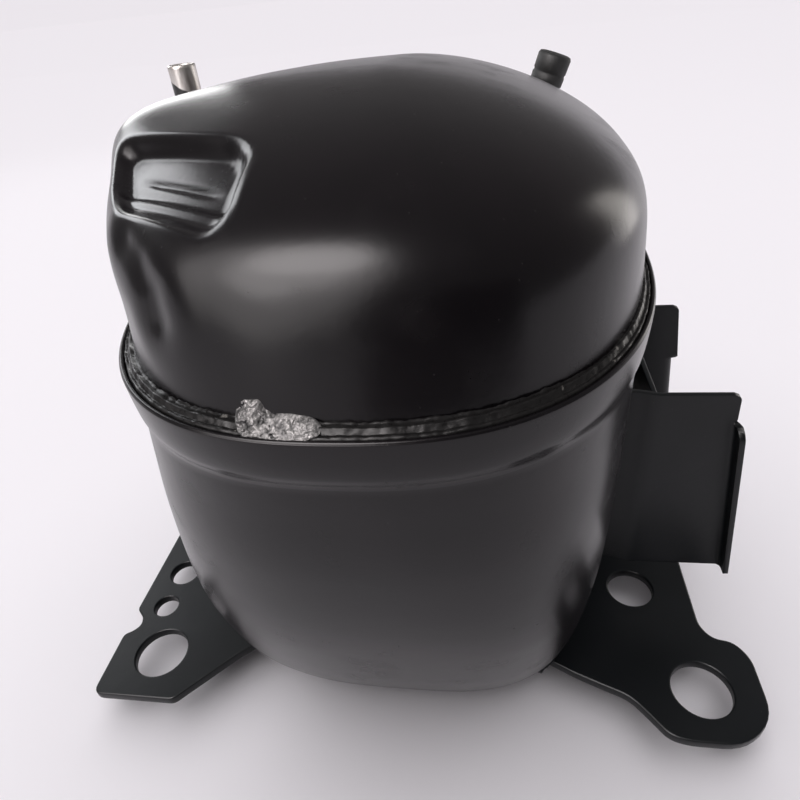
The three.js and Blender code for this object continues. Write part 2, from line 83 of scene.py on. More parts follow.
class Paint:
    """A node material under construction: the shader, and one set of object coordinates."""

    def __init__(self, name, colour, roughness, metallic=0.0):
        self.material = bpy.data.materials.new(name)
        self.material.use_nodes = True
        self.tree = self.material.node_tree
        self.shader = self.tree.nodes["Principled BSDF"]
        self.shader.inputs["Base Color"].default_value = (*colour, 1)
        self.shader.inputs["Roughness"].default_value = roughness
        self.shader.inputs["Metallic"].default_value = metallic
        self.coords = self.tree.nodes.new("ShaderNodeTexCoord").outputs["Object"]
        self.height = None

    def link(self, a, b):
        self.tree.links.new(a, b)

    def stretched(self, scale):
        mapping = self.tree.nodes.new("ShaderNodeMapping")
        mapping.inputs["Scale"].default_value = scale
        self.link(self.coords, mapping.inputs["Vector"])
        return mapping.outputs["Vector"]

    def noise(self, scale, detail=3, stretch=None):
        node = self.tree.nodes.new("ShaderNodeTexNoise")
        node.inputs["Scale"].default_value = scale
        node.inputs["Detail"].default_value = detail
        self.link(self.stretched(stretch) if stretch else self.coords, node.inputs["Vector"])
        return node.outputs["Fac"]

    def cells(self, scale):
        node = self.tree.nodes.new("ShaderNodeTexVoronoi")
        node.inputs["Scale"].default_value = scale
        self.link(self.coords, node.inputs["Vector"])
        return node.outputs["Distance"]

    def ramp(self, value, low, high, dark, light):
        node = self.tree.nodes.new("ShaderNodeValToRGB")
        first, last = node.color_ramp.elements
        first.position, last.position = low, high
        first.color, last.color = (*dark, 1), (*light, 1)
        self.link(value, node.inputs["Fac"])
        return node.outputs["Color"]

    def spread(self, value, low, high, start, end):
        node = self.tree.nodes.new("ShaderNodeMapRange")
        ends = {"From Min": low, "From Max": high, "To Min": start, "To Max": end}
        for key, number in ends.items():
            node.inputs[key].default_value = number
        self.link(value, node.inputs["Value"])
        return node.outputs["Result"]

    def math(self, kind, a, b):
        node = self.tree.nodes.new("ShaderNodeMath")
        node.operation = kind
        for socket, value in zip(node.inputs, (a, b)):
            if isinstance(value, (int, float)):
                socket.default_value = value
            else:
                self.link(value, socket)
        return node.outputs[0]

    def mix(self, factor, a, b):
        node = self.tree.nodes.new("ShaderNodeMix")
        node.data_type = "RGBA"
        self.link(factor, node.inputs["Factor"])
        for socket, value in zip((node.inputs[MIX_A], node.inputs[MIX_B]), (a, b)):
            if isinstance(value, tuple):
                socket.default_value = (*value, 1)
            else:
                self.link(value, socket)
        return node.outputs[MIX_RESULT]

    def colour(self, socket):
        self.link(socket, self.shader.inputs["Base Color"])

    def roughness(self, socket):
        self.link(socket, self.shader.inputs["Roughness"])

    def bump(self, value, strength, depth):
        node = self.tree.nodes.new("ShaderNodeBump")
        node.inputs["Strength"].default_value = strength
        node.inputs["Distance"].default_value = depth
        self.link(value, node.inputs["Height"])
        if self.height:
            self.link(self.height, node.inputs["Normal"])
        self.height = node.outputs["Normal"]
        self.link(self.height, self.shader.inputs["Normal"])


def enamel(name, colour, tint, roughness, gloss, peel):
    """Sprayed and baked enamel: orange peel, faint dust specks and patches that are a little duller."""
    p = Paint(name, colour, roughness)
    cloud = p.noise(26, 4)
    specks = p.spread(p.cells(420), 0.0, 0.05, 1, 0)
    patch = p.spread(p.noise(90, 5), 0.55, 0.75, 0, 1)
    base = p.ramp(cloud, 0.35, 0.68, colour, tint)
    p.colour(p.mix(p.math("MULTIPLY", specks, 0.18), base, (0.3, 0.28, 0.26)))
    dull = p.math("MULTIPLY", patch, 0.06)
    p.roughness(p.math("ADD", p.math("ADD", dull, p.math("MULTIPLY", specks, 0.2)), roughness))
    p.shader.inputs["Specular IOR Level"].default_value = gloss
    p.bump(p.noise(750, 2), peel, 0.0002)
    p.bump(p.noise(130, 3), peel * 0.6, 0.0008)
    return p.material


def metal(name, dark, light, roughness, stretch=(1, 1, 1), scale=900, depth=0.0001):
    """Bare metal with tool marks drawn out where stretch is small, and soft staining."""
    p = Paint(name, light, roughness, 1.0)
    lines = p.noise(scale, 4, stretch)
    stain = p.noise(60, 5)
    p.colour(p.mix(stain, p.ramp(lines, 0.3, 0.7, dark, light), dark))
    p.roughness(p.spread(stain, 0.3, 0.7, roughness - 0.07, roughness + 0.12))
    p.bump(lines, 0.35, depth)
    return p.material


def moulded(name, colour, roughness, grain=1400):
    """Moulded plastic, rubber or fibre with a fine surface grain."""
    p = Paint(name, colour, roughness)
    darker = tuple(0.75 * c for c in colour)
    p.colour(p.ramp(p.noise(45, 4), 0.3, 0.7, darker, colour))
    p.roughness(p.spread(p.noise(200, 3), 0.3, 0.7, roughness - 0.08, roughness + 0.08))
    p.bump(p.noise(grain, 3), 0.3, 0.0001)
    return p.material


def cast(name, colour):
    """Sand-cast iron, blasted."""
    p = Paint(name, colour, 0.6, 0.75)
    p.colour(p.ramp(p.noise(70, 6), 0.3, 0.72, tuple(0.55 * c for c in colour), colour))
    p.roughness(p.spread(p.noise(160, 4), 0.3, 0.7, 0.45, 0.75))
    p.bump(p.noise(650, 5), 0.5, 0.0004)
    return p.material


SHELL_BLACK = enamel("shell_enamel", (0.005, 0.004, 0.005), (0.0085, 0.006, 0.0075), 0.24, 0.28, 0.05)
FOOT_BLACK = enamel("foot_enamel", (0.004, 0.0052, 0.006), (0.007, 0.0082, 0.01), 0.34, 0.28, 0.12)
STUB_BLACK = enamel("stub_enamel", (0.008, 0.008, 0.0085), (0.013, 0.0125, 0.0125), 0.3, 0.45, 0.08)


def weld_material():
    """Paint over a coarse bead, with small chips worn to grey metal scattered over it."""
    p = Paint("weld", (0.012, 0.011, 0.011), 0.3)
    grain = p.noise(900, 6)
    chips = p.spread(p.noise(330, 5), 0.69, 0.72, 0, 1)
    p.colour(p.mix(p.math("MULTIPLY", chips, 0.6), (0.012, 0.011, 0.011), (0.28, 0.26, 0.24)))
    p.shader.inputs["Specular IOR Level"].default_value = 0.2
    p.roughness(p.spread(grain, 0.3, 0.7, 0.22, 0.45))
    p.bump(grain, 0.4, 0.0002)
    return p.material


def patch_material():
    """Where two runs of weld overlap: grey spatter through thin paint."""
    p = Paint("weld_patch", (0.3, 0.29, 0.28), 0.45, 0.2)
    grain = p.noise(620, 9)
    fine = p.noise(1500, 4)
    p.colour(p.ramp(grain, 0.36, 0.62, (0.02, 0.019, 0.019), (0.34, 0.325, 0.32)))
    p.roughness(p.spread(fine, 0.3, 0.7, 0.25, 0.55))
    p.bump(grain, 0.7, 0.0007)
    p.bump(fine, 0.4, 0.0002)
    return p.material


WELD = weld_material()
PATCH = patch_material()

# Which way the marks run: round the stack in thin layers, or drawn along one axis.
LAYERED, ALONG_X, ALONG_Z = (0.05, 0.05, 1), (0.1, 1, 1), (1, 1, 0.1)

FINISHES = {
    "shell_paint": SHELL_BLACK,
    "foot_paint": FOOT_BLACK,
    "stub_paint": STUB_BLACK,
    "weld": WELD,
    "stub_metal": metal("bare_tube", (0.5, 0.47, 0.44), (0.82, 0.79, 0.76), 0.35, ALONG_Z),
    "plug_rubber": moulded("black_rubber", (0.018, 0.018, 0.018), 0.6),
    "terminal_glass": metal("terminal_cup", (0.3, 0.3, 0.29), (0.52, 0.51, 0.5), 0.3),
    "pin_metal": metal("pin_plating", (0.5, 0.46, 0.38), (0.72, 0.68, 0.6), 0.25, ALONG_X),
    "cluster_plastic": moulded("cluster_plastic", (0.75, 0.73, 0.66), 0.5),
    "lamination": metal(
        "lamination", (0.12, 0.13, 0.16), (0.34, 0.35, 0.38), 0.4, LAYERED, 2200, 0.0003
    ),
    "copper": metal(
        "winding_copper", (0.35, 0.12, 0.05), (0.75, 0.35, 0.16), 0.3, (1, 1, 0.2), 1500, 0.0004
    ),
    "rotor_iron": metal(
        "rotor", (0.25, 0.25, 0.26), (0.55, 0.55, 0.56), 0.4, LAYERED, 2000, 0.0002
    ),
    "machined_steel": metal(
        "ground_steel", (0.4, 0.4, 0.41), (0.66, 0.66, 0.67), 0.25, ALONG_Z, 1400, 0.00005
    ),
    "castings": cast("grey_iron", (0.24, 0.235, 0.23)),
    "reed_steel": metal("strip_steel", (0.28, 0.31, 0.38), (0.5, 0.53, 0.6), 0.2),
    "gasket": moulded("gasket_fibre", (0.1, 0.085, 0.07), 0.8),
    "muffler_plastic": moulded("muffler_plastic", (0.78, 0.75, 0.66), 0.5),
    "bolt_steel": metal("phosphated_steel", (0.14, 0.14, 0.145), (0.3, 0.3, 0.3), 0.45),
    "spring_steel": metal("spring_wire", (0.3, 0.3, 0.32), (0.55, 0.55, 0.57), 0.3),
    "seat_steel": metal("pressed_steel", (0.24, 0.24, 0.24), (0.45, 0.45, 0.45), 0.4),
}
for part in frame["record"]["subparts"]:
    node = frame["nodes"][part["node"]]
    node.data.materials.clear()
    node.data.materials.append(FINISHES[part["material_slot"]])


# ------------------------------------------------------------------ mesh helpers
def place(name, mesh, material, replaced=()):
    """Puts a finished mesh in the scene as one smooth piece on the fixed housing."""
    piece = bpy.data.objects.new(name, mesh)
    bpy.context.scene.collection.objects.link(piece)
    mesh.materials.append(material)
    mesh.shade_smooth()
    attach(piece, "housing")
    if replaced:
        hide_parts(*replaced)
    return piece


def mesh_of(name, bm):
    """Turns a finished bmesh into a mesh, with its faces turned outwards."""
    bmesh.ops.recalc_face_normals(bm, faces=bm.faces)
    mesh = bpy.data.meshes.new(name)
    bm.to_mesh(mesh)
    bm.free()
    return mesh


def skin_rings(bm, rings, loop=False):
    """Quads between rings of equally many points; loop joins the last ring to the first."""
    rows = [[bm.verts.new(Vector(p) * MM) for p in ring] for ring in rings]
    pairs = list(zip(rows, rows[1:]))
    if loop:
        pairs.append((rows[-1], rows[0]))
    for low, high in pairs:
        for i in range(len(low)):
            j = (i + 1) % len(low)
            bm.faces.new((low[i], low[j], high[j], high[i]))
    return rows


def cap(bm, ring, centre):
    """Closes a ring of vertices with a fan of triangles about its centre."""
    hub = bm.verts.new(Vector(centre) * MM)
    for i in range(len(ring)):
        bm.faces.new((ring[i], ring[(i + 1) % len(ring)], hub))


def skin_grid(bm, rows):
    """Quads over an open grid of vertices."""
    for a, b in zip(rows, rows[1:]):
        for j in range(len(a) - 1):
            bm.faces.new((a[j], a[j + 1], b[j + 1], b[j]))


def spokes(count):
    """Angles evenly spaced round a full turn."""
    return [math.tau * i / count for i in range(count)]


def middle_of(points):
    return sum((Vector(p) for p in points), Vector()) / len(points)


def blend_four(a, b, c, d, u):
    """Catmull-Rom: the value u of the way from b to c."""
    linear = (c - a) * u
    square = (2 * a - 5 * b + 4 * c - d) * u * u
    return 0.5 * (2 * b + linear + square + (3 * b - a - 3 * c + d) * u**3)


def glide(points, count):
    """count + 1 points along a smooth curve through points, which are tuples of any length."""
    out = []
    last = len(points) - 1
    for k in range(count + 1):
        t = k / count * last
        i = min(int(t), last - 1)
        u = t - i
        four = [points[min(max(i + step, 0), last)] for step in (-1, 0, 1, 2)]
        out.append(tuple(blend_four(*values, u) for values in zip(*four)))
    return out


# ------------------------------------------------------------------ the shell's plan
OVAL = 2.45
SQUARER, SQUARER_OVER = 0.65, 60.0
AROUND = 256
WALL = 3.0
RIM_Z = 128.0
STEP_Z = 119.0
CROWN_Z = 169.0


def squareness(z):
    """The plan's exponent: the lower shell is squarer towards its foot than the rim and the cover."""
    return OVAL + SQUARER * min(max((STEP_Z - z) / SQUARER_OVER, 0), 1)


def oval_point(row, angle):
    """A point of the plan. A row is the reach to +X, to +Y, the height, the reach to -X and to -Y."""
    right, rear, z = row[:3]
    left = row[3] if len(row) > 3 else right
    front = row[4] if len(row) > 4 else rear
    c, s = math.cos(angle), math.sin(angle)
    power = squareness(z)
    k = (abs(c) ** power + abs(s) ** power) ** (-1 / power)
    return ((left if c < 0 else right) * k * c, (front if s < 0 else rear) * k * s, z)


def oval_ring(row, count=AROUND):
    return [oval_point(row, angle) for angle in spokes(count)]


# ------------------------------------------------------------------ lower shell
# Each row: reach to +X, reach to Y, height, reach to -X.
BODY_ROWS = [
    (24, 31, 0.0, 25),
    (33, 40.5, 0.6, 34),
    (40.5, 47.5, 3.4, 43),
    (47.0, 52.4, 8.4, 51.5),
    (50.2, 56.2, 15, 57.0),
    (52.0, 61.0, 24, 59.6),
    (53.5, 68.0, 40, 60.9),
    (55.2, 75.2, 66, 61.3),
    (56.5, 78.6, 90, 60.5),
    (57.2, 79.6, 108, 59.3),
    (57.6, 80.0, 115, 58.7),
]
BAND_ROWS = [
    (57.7, 80.1, STEP_Z - 2.6, 58.6),
    (58.0, 80.5, STEP_Z - 1.4, 58.7),
    (58.5, 81.1, STEP_Z - 0.2, 58.9),
    (58.9, 81.6, STEP_Z + 1.2, 59.1),
    (59.2, 82.0, STEP_Z + 4, 59.2),
    (59.4, 82.2, RIM_Z - 1.0, 59.4),
    (59.3, 82.1, RIM_Z - 0.3, 59.3),
    (59.0, 81.8, RIM_Z, 59.0),
    (58.6, 81.4, RIM_Z - 0.1, 58.6),
    (58.3, 81.1, RIM_Z - 0.8, 58.3),
]
INSIDE_ROWS = [
    (57.3, 79.9, 121.0, 57.3),
    (54.6, 76.9, 119, 55.6),
    (53.6, 75.4, 100, 57.2),
    (52.0, 71.4, 60, 58.2),
    (48.9, 56.4, 20, 56.0),
    (38, 44, 6, 40),
    (22, 28, 3, 23),
]


def lower_shell_mesh(name):
    bm = bmesh.new()
    profile = glide(BODY_ROWS, 100) + glide(BAND_ROWS, 48) + INSIDE_ROWS
    rows = skin_rings(bm, [oval_ring(row) for row in profile])
    cap(bm, rows[0], (0, 0, 0))
    cap(bm, rows[-1], (0, 0, WALL))
    return mesh_of(name, bm)


shell = lower_shell_mesh("lower_shell_skin")
place("lower_shell_skin", shell, SHELL_BLACK, replaced=["lower_shell"])

# ------------------------------------------------------------------ top cover with its pressed pocket
POCKET_AT = Vector((-31.0, -51.0, 158.6))
POCKET_TURN = Matrix.Rotation(-0.5, 3, "Z") @ Matrix.Rotation(0.52, 3, "X")
POCKET_HALF_W, POCKET_HALF_D, POCKET_ROUND = 15.4, 8.5, 5.0
POCKET_DEEP, POCKET_SLOPE = 3.6, 4.2
POCKET_LEAN, REACH_IN = 0.78, 14
SHOULDER_Z = CROWN_Z - 24


def ease(x):
    """0 up to 0, 1 from 1, and a smooth step between."""
    x = min(max(x, 0.0), 1.0)
    return x * x * (3 - 2 * x)


def bell(point, centre, spread):
    """1 at the centre, and fading to 0 over about three times the spread."""
    return math.exp(-(Vector(point) - Vector(centre)).length_squared / (2 * spread * spread))


# Each swell is a centre, a spread and a push. The front left shoulder stands fuller beside the
# pocket, is a little slimmer below that, and falls away behind.
SWELLS = [
    ((-52, -18, 159), 11, (-3.0, -0.4, 2.2)),
    ((-54, -30, 148), 10, (1.4, 0.4, 0)),
    ((-42, 28, 164), 12, (0.6, -0.4, -0.9)),
]
# Below the pocket the sheet is drawn in along a line that runs down and to the front.
FOLD = [(-36, -58, 151), (-32, -62, 149.5), (-29.5, -65.5, 146), (-29.5, -67.8, 142)]


def off_line(point, line):
    """Distance from a point to a line of several straight pieces."""
    distances = []
    for a, b in zip(line, line[1:]):
        a, b = Vector(a), Vector(b)
        t = min(max((point - a).dot(b - a) / (b - a).length_squared, 0), 1)
        distances.append((point - a.lerp(b, t)).length)
    return min(distances)


def folded(p):
    """The fold: a soft groove along its line, and a low ridge a little way off on each side."""
    if p.x >= 0 or p.y >= -30:
        return p
    out = Vector((p.x / 54, p.y / 73, 0.25)).normalized()
    away = off_line(p, FOLD)
    groove, ridge = math.exp(-((away / 3.0) ** 2)), math.exp(-(((away - 7) / 4) ** 2))
    return p - out * 0.9 * groove + out * 0.4 * ridge


def pocketed(p, inset):
    """The pocket: leaning rounded sides, a curved floor with a crease, and a ledge low in front."""
    local = POCKET_TURN.transposed() @ (p - POCKET_AT)
    if local.z < -REACH_IN:
        return p
    # In its own frame the pocket is a rounded slab that leans and narrows upwards.
    side, rise = min(max(local.x, -25), 25), min(max(local.y, -14), 14)
    along = (local.x + POCKET_LEAN * local.y - 0.3) / (1 + 0.02 * rise)
    across = (local.y - 0.02 * local.x - 2.8) / (1 + 0.007 * side)
    dx = abs(along) - (POCKET_HALF_W - POCKET_ROUND)
    dy = abs(across) - (POCKET_HALF_D - POCKET_ROUND)
    away = math.hypot(max(dx, 0), max(dy, 0)) + min(max(dx, dy), 0) - POCKET_ROUND
    crease_line = (across + 0.4 + 0.05 * along) / 0.7
    crease = 0.45 * math.exp(-(crease_line**2)) * ease((12 - abs(along - 1)) / 6)
    ledge = 1.1 * ease((-across - 3.9) / 1.6)
    floor = 0.55 * (local.z + inset) - POCKET_DEEP - crease + ledge - inset
    local.z += min(floor - local.z, 0) * ease(0.62 - away / POCKET_SLOPE)
    return POCKET_TURN @ local + POCKET_AT


def pressed(point, inset):
    """Where a point of the plain dome lands once the shoulder is formed and the pocket pressed."""
    p = Vector(point)
    for centre, spread, push in SWELLS:
        p = p + Vector(push) * bell(point, centre, spread)
    return tuple(pocketed(folded(p), inset))


def evened(rows, times):
    """Rows with their profile smoothed, the two end rows held."""
    for _ in range(times):
        triples = zip(rows, rows[1:], rows[2:])
        middle = [tuple((a + 2 * b + c) / 4 for a, b, c in zip(*three)) for three in triples]
        rows = [rows[0], *middle, rows[-1]]
    return rows


def shoulder(up, roundness):
    """How far the crown still reaches when it is up of the way from shoulder to top."""
    return max(0.0, 1 - up ** (2 / roundness)) ** (roundness / 2)


SKIRT_ROWS = [
    (56.8, 79.3, 121, 56.7),
    (56.9, 78.7, 127, 56.5),
    (56.6, 76.6, 135, 56.0),
    (56.1, 74.2, SHOULDER_Z, 56.5),
]


def dome_rows(inset, steps=110):
    """The crown falls away gently towards +X and stands full towards -X."""
    skirt = glide(SKIRT_ROWS, 36)[:-1]
    rows = [(a - inset, b - inset, z, c - inset, b - inset) for a, b, z, c in skirt]
    for i in range(steps):
        up = math.sin((i / steps) ** 0.9 * math.pi / 2) ** 0.8
        right, left = (56 - inset) * shoulder(up, 1.25), (56.6 - inset) * shoulder(up, 0.5)
        rear, front = (73.5 - inset) * shoulder(up, 0.8), (73.5 - inset) * shoulder(up, 1.0)
        rows.append((right, rear, SHOULDER_Z + (CROWN_Z - SHOULDER_Z - inset) * up, left, front))
    return evened(rows, 30)


def top_cover_mesh(name):
    outer = [[pressed(p, 0) for p in oval_ring(row)] for row in dome_rows(0)]
    inner = [[pressed(p, WALL) for p in oval_ring(row)] for row in dome_rows(WALL, 40)]
    bm = bmesh.new()
    rows = skin_rings(bm, inner[::-1] + outer)
    cap(bm, rows[0], (0, 0, CROWN_Z - WALL))
    cap(bm, rows[-1], (0, 0, CROWN_Z))
    return mesh_of(name, bm)


cover = top_cover_mesh("top_cover_skin")
place("top_cover_skin", cover, SHELL_BLACK, replaced=["top_cover"])

# ------------------------------------------------------------------ weld bead
BEAD_BASE, SEAM_REACH = 127.5, 60
BEAD_ROWS = [
    (56.2, 78.4, 126.8),
    (57.4, 79.9, 126.6),
    (58.35, 81.15, 126.8),
    (58.3, 81.1, 127.7),
    (58.0, 80.7, 128.35),
    (57.8, 80.45, 128.1),
    (57.55, 80.1, 128.1),
    (57.3, 79.8, 128.9),
    (57.0, 79.4, 129.1),
    (56.6, 78.8, 128.7),
    (56.3, 78.4, 129.0),
    (56.0, 78.0, 129.2),
    (55.7, 77.6, 128.7),
]


def rough(point, scale):
    """Smooth unevenness between about -1 and 1; a larger scale is finer."""
    return noise.noise(Vector(point) * scale)


def bead_ring(row, count):
    """One ring of the bead, uneven above its base."""
    ring = []
    for x, y, z in oval_ring(row, count):
        lift = 0.0
        if z > BEAD_BASE:
            lift = rough((x, y, z), 0.3) * 0.25 + rough((x, y, z), 1.1) * 0.22
        grow = 1 + 0.35 * lift / SEAM_REACH
        ring.append((x * grow, y * grow, z + lift))
    return ring


bm = bmesh.new()
skin_rings(bm, [bead_ring(row, 720) for row in BEAD_ROWS], loop=True)
bead = mesh_of("weld_bead_skin", bm)
place("weld_bead_skin", bead, WELD, replaced=["weld_bead"])

# Where the run of weld ends it laps over its start, a rough lump across the seam at the front left.
LAP_FROM, LAP_TO = math.radians(253.8), math.radians(268.6)
LAP_Z, LAP_THICK = 129.2, 1.2


def round_end(share):
    """Half width of a round end, from 0 at its tip to 1 where it is full."""
    return math.sqrt(max(0.0, 1 - (1 - share) ** 2)) if share < 1 else 1.0


def lap_mesh(along=190, across=44):
    """A lumpy blob at the start, drawn out into a flat rounded tongue."""
    bm = bmesh.new()
    grid = []
    for i in range(along + 1):
        u = i / along
        angle = LAP_FROM + (LAP_TO - LAP_FROM) * u
        blob = ease((0.46 - u) / 0.2)
        ends = round_end(u / 0.2) * round_end((1 - u) / 0.4)
        half = (1.5 + 0.8 * blob) * ends + 0.02
        middle = LAP_Z + 0.9 * blob - 0.5 * u
        row = []
        for j in range(across + 1):
            v = j / across
            z = middle + half * (2 * v - 1) + (0.12 + 0.18 * blob) * rough((u * 9, v, 0), 1.0)
            slope = ease((z - 126.6) / 4.6)
            x, y, _ = oval_point((59.3 - 3.7 * slope, 82.1 - 4.6 * slope, z), angle)
            at = (x, y, z)
            bumps = rough(at, 0.5) * 0.9 + rough(at, 1.3) * 0.5 + rough(at, 3.1) * 0.22
            hump = math.sin(math.pi * v) ** 0.5 * ends
            out = hump * (1.0 + 0.3 * blob + bumps * (0.25 + 0.75 * blob)) - 0.5
            grow = 1 + out / math.hypot(x, y)
            row.append(bm.verts.new(Vector((x * grow, y * grow, z + 0.3 * bumps * hump)) * MM))
        grid.append(row)
    skin_grid(bm, grid)
    return mesh_of("weld_lap", bm)


lap = place("weld_lap", lap_mesh(), PATCH)
thicken = lap.modifiers.new("thickness", "SOLIDIFY")
thicken.thickness = LAP_THICK * MM
thicken.offset = -1


# ------------------------------------------------------------------ sheet parts
def rounded(points, radius, steps=5, closed=True):
    """Outline with its corners rounded; a corner's own radius can stand as a third number."""
    out = []
    count = len(points)
    for i, corner in enumerate(points):
        if not closed and i in (0, count - 1):
            out.append(Vector(corner[:2]))
            continue
        here = Vector(corner[:2])
        before, after = Vector(points[i - 1][:2]), Vector(points[(i + 1) % count][:2])
        want = corner[2] if len(corner) > 2 else radius
        cut_back = min(want, 0.48 * (before - here).length, 0.48 * (after - here).length)
        a = here + (before - here).normalized() * cut_back
        b = here + (after - here).normalized() * cut_back
        for k in range(steps + 1):
            t = k / steps
            out.append(a * (1 - t) ** 2 + here * 2 * t * (1 - t) + b * t * t)
    return out


def circle(x, y, radius, count=48):
    return [Vector((x + radius * math.cos(a), y + radius * math.sin(a))) for a in spokes(count)]


def sheet_mesh(name, outline, holes, thickness, z, edge):
    """A flat sheet with softened edges, from height z up. A hole is its centre and its radius."""
    curve = bpy.data.curves.new(name, "CURVE")
    curve.dimensions = "2D"
    curve.fill_mode = "BOTH"
    curve.extrude = (thickness / 2 - edge) * MM
    curve.bevel_depth = edge * MM
    curve.bevel_resolution = 2
    curve.offset = -edge * MM
    for loop in [outline] + [circle(*hole) for hole in holes]:
        spline = curve.splines.new("POLY")
        spline.points.add(len(loop) - 1)
        spline.use_cyclic_u = True
        for target, point in zip(spline.points, loop):
            target.co = (point.x * MM, point.y * MM, 0, 1)
    holder = bpy.data.objects.new(name + "_outline", curve)
    mesh = bpy.data.meshes.new_from_object(holder)
    bpy.data.objects.remove(holder)
    mesh.transform(Matrix.Translation((0, 0, (z + thickness / 2) * MM)))
    return mesh


def crisp(piece, angle=35):
    """Smooth shading that keeps sharp corners, and flat faces that stay flat."""
    mesh = piece.data
    limit = math.radians(angle)
    bm = bmesh.new()
    bm.from_mesh(mesh)
    for edge in bm.edges:
        edge.smooth = len(edge.link_faces) == 2 and edge.calc_face_angle(0) < limit
    bm.to_mesh(mesh)
    bm.free()


# ------------------------------------------------------------------ feet
PLATE_Z, PLATE_T, PLATE_SOFT = 9.0, 3.0, 0.5
FOOT_Y = 2.5
GROMMET = (82.55, 50.8, 8.25)
EDGE = 99.0
EAR = GROMMET[1] + 14.9
ARC_STEPS = 60
# The front half of each outline, from the shell outwards, with the corners' radii.
RIGHT_HALF = [
    (48, -48.5),
    (55, -51.5, 5),
    (62.5, -54.4, 6),
    (66.8, -59.4, 6),
    (71, -64.6, 6),
    (76, -EAR, 4),
    (90, -EAR, 9),
    (EDGE, -EAR + 8, 9),
    (EDGE, -40, 9),
    (95.5, -34.9, 6),
    (90, -34.2, 5),
    (87.2, -30, 6),
    (87.2, -14, 4),
]
LEFT_HALF = [
    (56, -48.8),
    (72, -EAR, 1.5),
    (EDGE - 0.4, -EAR, 3),
    (EDGE, -45.2, 2),
    (96.6, -43.8, 1.2),
    (94.7, -41.4, 1.5),
    (95.6, -38.4, 1.2),
    (EDGE, -35.4, 1.2),
    (EDGE, -14, 2),
]


def foot(name, half, side, holes, node):
    """A foot plate: half its outline, mirrored, closed along the shell, with its holes mirrored too."""
    seat = (48.4, 52.8, PLATE_Z + PLATE_T / 2, 52.6)
    outer = [(side * c[0], c[1] + FOOT_Y, *c[2:]) for c in half]
    mirror = [(side * c[0], FOOT_Y - c[1], *c[2:]) for c in half[::-1]]
    edge = rounded(outer + mirror, 3, closed=False)
    start = math.atan2(edge[0].y, edge[0].x)
    stop = math.atan2(edge[-1].y, edge[-1].x)
    if side < 0 and start < 0:
        start += math.tau
    inner_arc = []
    for k in range(ARC_STEPS + 1):
        degrees = round(math.degrees(stop + (start - stop) * k / ARC_STEPS))
        x, y, _ = oval_point(seat, math.radians(degrees))
        inner_arc.append(Vector((x, y)))
    round_holes = [(side * x, FOOT_Y + way * y, radius) for x, y, radius in holes for way in (-1, 1)]
    mesh = sheet_mesh(name, edge + inner_arc, round_holes, PLATE_T, PLATE_Z, PLATE_SOFT)
    crisp(place(name, mesh, FOOT_BLACK, replaced=[node]))


foot("left_foot_plate", LEFT_HALF, -1, [GROMMET, (89, 33.5, 4), (88.5, 19, 5)], "left_foot")
foot("right_foot_plate", RIGHT_HALF, 1, [GROMMET, (69, 17, 7)], "right_foot")


def foot_fillet(name, side, steps=180, count=8):
    """The run of weld that joins a foot plate to the shell, along the plate's top."""
    radius, span = 1.5, math.radians(96)
    centre = 0 if side > 0 else math.pi
    flare = 0.5 if side > 0 else 0.82
    rings = []
    for k in range(steps + 1):
        angle = centre + (k / steps - 0.5) * span
        ring = []
        for a in spokes(count):
            z = PLATE_Z + PLATE_T + radius * math.cos(a)
            out = (z - 8.4) * flare + radius * math.sin(a)
            x, y, _ = oval_point((47.2 + out, 52.6 + out, z, 51.6 + out), angle)
            swell = 1 + 0.3 * rough((x, y, z), 0.4) / 50 + 0.2 * rough((x, y, z), 1.4) / 50
            ring.append((x * swell, y * swell, z))
        rings.append(ring)
    bm = bmesh.new()
    rows = skin_rings(bm, rings)
    cap(bm, rows[0], middle_of(rings[0]))
    cap(bm, rows[-1], middle_of(rings[-1]))
    place(name, mesh_of(name, bm), FOOT_BLACK)


foot_fillet("left_foot_weld", -1)
foot_fillet("right_foot_weld", 1)

# ------------------------------------------------------------------ terminal bracket
SHEET, SHEET_SOFT = 1.4, 0.4
BRACKET_LOW, BRACKET_TOP = 34.5, 95.0
NEAR_Y, FAR_Y = -21.5, 31.0
BASE_X, WALL_X = 64.0, 64.4
LIP, LIP_BEND = 4.2, 2.0
ROOT_IN = 3.0
TOP_ROUND = 1.6
HAIR = 0.0005  # keeps points that would meet just apart


